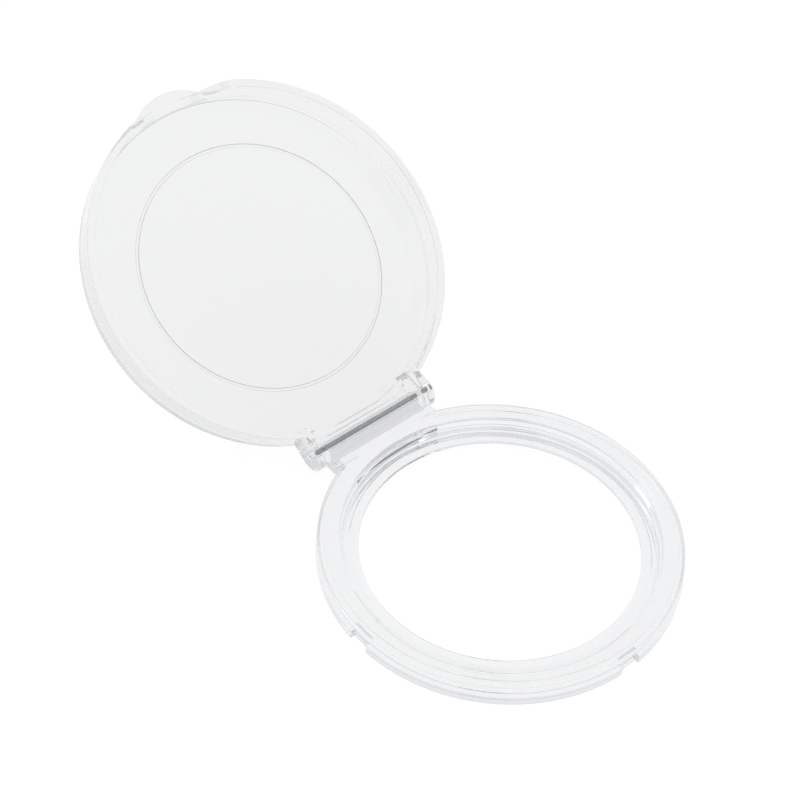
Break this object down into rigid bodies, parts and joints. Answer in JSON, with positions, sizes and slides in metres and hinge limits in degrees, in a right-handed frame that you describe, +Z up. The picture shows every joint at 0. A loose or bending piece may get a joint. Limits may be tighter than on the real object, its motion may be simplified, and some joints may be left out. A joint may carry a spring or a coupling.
{
  "type": "hinged case",
  "caption": "Small round clear plastic case, open on its hinge: a shallow lid with a thumb tab, a low open ring base and a steel hinge pin.",
  "frame": {"origin": "centre of the open case's bounding box, on the table it stands on", "axes": "+Y from the base ring towards the open lid, +X along the hinge pin, +Z up"},
  "size_m": [0.0872, 0.1636, 0.0549],
  "materials": {
    "clear_base": "polished clear styrene",
    "clear_lid": "polished clear styrene",
    "steel": "drawn wire, dull"
  },
  "bodies": {
    "base": {"base_ring": "clear_base", "hinge_pin": "steel"},
    "lid": {"lid_shell": "clear_lid"}
  },
  "joints": [
    {"name": "lid_hinge", "type": "hinge", "parent": "base", "child": "lid", "pos_m": [0, 0.00354, 0.0043], "axis": [1, 0, 0], "range_deg": [0, 145]}
  ]
}
